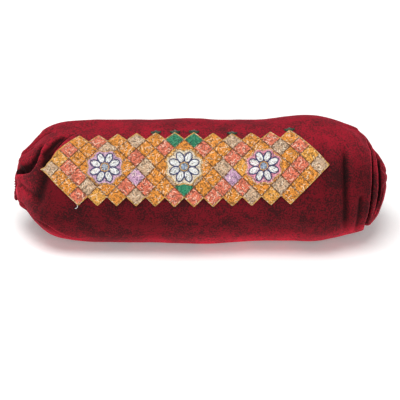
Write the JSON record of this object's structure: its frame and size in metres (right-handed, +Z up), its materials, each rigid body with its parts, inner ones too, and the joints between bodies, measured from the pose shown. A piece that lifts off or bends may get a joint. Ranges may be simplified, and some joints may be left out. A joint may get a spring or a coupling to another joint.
{
  "type": "shofar bag",
  "caption": "Padded velvet tube bag for a ram's horn, gathered to a small open mouth at one end and tucked shut at the other, with an embroidered band on its front.",
  "frame": {"origin": "on the surface that the bag lies on, under the middle of its box", "axes": "+X along the bag from its mouth to its closed end, -Y its embroidered front, +Z up"},
  "size_m": [0.4608, 0.1632, 0.1465],
  "materials": {
    "velvet": "short plush pile",
    "casing_velvet": "short plush pile, gathered",
    "embroidery": "dense stitches",
    "rosette_thread": "dense stitches"
  },
  "bodies": {
    "root": {"velvet_body": "velvet", "mouth_casing": "casing_velvet", "embroidered_band": "embroidery", "rosette_left": "rosette_thread", "rosette_centre": "rosette_thread", "rosette_right": "rosette_thread"}
  },
  "joints": []
}
